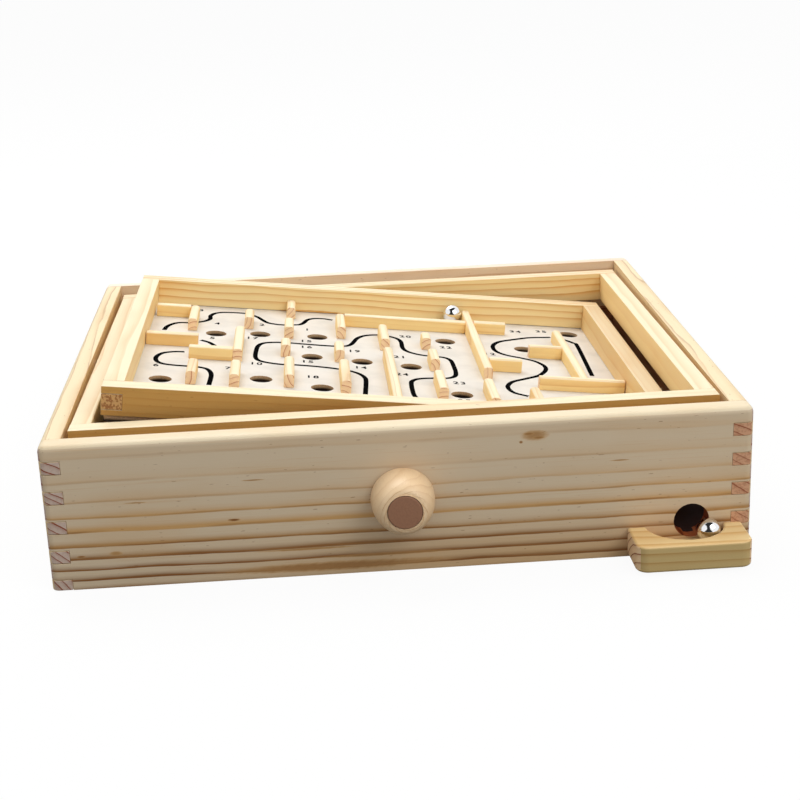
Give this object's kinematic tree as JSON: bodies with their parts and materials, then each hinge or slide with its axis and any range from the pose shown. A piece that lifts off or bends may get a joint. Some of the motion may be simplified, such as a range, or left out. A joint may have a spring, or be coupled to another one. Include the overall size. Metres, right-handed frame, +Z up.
{
  "type": "wooden ball maze",
  "caption": "Open pine box with a maze tray hung in a gimbal frame that knobs tilt, and a sloping floor that leads a dropped ball out to a catch tray.",
  "frame": {"origin": "under the middle of the whole game's extents, knob and catch tray included, on the table top", "axes": "+X to the right along the front wall, towards the side knob; +Y from the front wall to the back wall; +Z up"},
  "size_m": [0.3714, 0.341, 0.0934],
  "materials": {
    "pine": "sanded, satin oil",
    "pale_pine": "sanded, satin oil",
    "golden_pine": "sanded, satin oil",
    "printed_board": "white print, satin",
    "plywood": "bare",
    "beech": "satin varnish",
    "dark_wood": "satin varnish",
    "dowel": "bare",
    "steel": "plain wire and pin",
    "chrome": "polished",
    "cord": "woven elastic"
  },
  "bodies": {
    "box": {"front_wall": "pine", "back_wall": "pine", "left_wall": "pine", "right_wall": "pine", "floor_panel": "plywood", "catch_tray": "pale_pine", "tray_cord_eye_left": "steel", "tray_cord_eye_right": "steel", "frame_cord_eye_front": "steel", "frame_cord_eye_back": "steel", "tray_cord": "cord", "frame_cord": "cord", "frame_pivot_left": "steel", "frame_pivot_right": "steel"},
    "frame": {"frame_rail_left": "pale_pine", "frame_rail_right": "pale_pine", "frame_rail_front": "pale_pine", "frame_rail_back": "pale_pine", "tray_pivot_front": "steel", "tray_pivot_back": "steel", "frame_hook_front": "steel", "frame_hook_back": "steel"},
    "tray": {"tray_rail_left": "pale_pine", "tray_rail_right": "pale_pine", "tray_rail_front": "pale_pine", "tray_rail_back": "pale_pine", "maze_board": "printed_board", "tray_hook_left": "steel", "tray_hook_right": "steel", "strip_back_left": "golden_pine", "strip_left": "golden_pine", "strip_left_corner": "golden_pine", "strip_b": "golden_pine", "strip_c_back": "golden_pine", "strip_c_second": "golden_pine", "strip_c_third": "golden_pine", "strip_c_front": "golden_pine", "strip_a_front": "golden_pine", "strip_b_front": "golden_pine", "strip_spine": "golden_pine", "strip_d_middle": "golden_pine", "strip_d_front": "golden_pine", "strip_e_back": "golden_pine", "strip_e_front": "golden_pine", "strip_f_back": "golden_pine", "strip_f_middle": "golden_pine", "strip_f_front": "golden_pine", "strip_g_front": "golden_pine", "strip_right_corner": "golden_pine", "strip_h_front": "golden_pine"},
    "front_knob": {"front_knob": "beech", "front_knob_plug": "dark_wood", "front_shaft": "dowel"},
    "side_knob": {"side_knob": "beech", "side_knob_plug": "dark_wood", "side_shaft": "dowel"},
    "maze_ball": {"maze_ball": "chrome"},
    "catch_ball": {"catch_ball": "chrome"}
  },
  "joints": [
    {"name": "frame_tilt", "type": "hinge", "parent": "box", "child": "frame", "pos_m": [-0.01065, 0.013, 0.0665], "axis": [1, 0, 0], "range_deg": [-4, 6], "deforming": ["frame_cord"]},
    {"name": "tray_tilt", "type": "hinge", "parent": "frame", "child": "tray", "pos_m": [-0.01065, 0.013, 0.0665], "axis": [0, 0.9998, -0.0175], "range_deg": [-13.3, 0], "deforming": ["tray_cord"]},
    {"name": "front_knob_turn", "type": "hinge", "parent": "box", "child": "front_knob", "pos_m": [-0.01065, -0.1445, 0.0397], "axis": [0, 1, 0], "range_deg": [0, 376]},
    {"name": "side_knob_turn", "type": "hinge", "parent": "box", "child": "side_knob", "pos_m": [0.16435, 0.013, 0.03], "axis": [1, 0, 0], "range_deg": [-160, 107]},
    {"name": "maze_ball_roll", "type": "slide", "parent": "tray", "child": "maze_ball", "axis": [0.9933, -0.002, -0.1158], "range_m": [-0.094, 0]},
    {"name": "catch_ball_lift", "type": "slide", "parent": "box", "child": "catch_ball", "axis": [0, 0, 1], "range_m": [0, 0.03]}
  ],
  "couplings": [
    {"joint": "front_knob_turn", "follows": "tray_tilt", "ratio": -28.2},
    {"joint": "side_knob_turn", "follows": "frame_tilt", "ratio": -26.5}
  ]
}
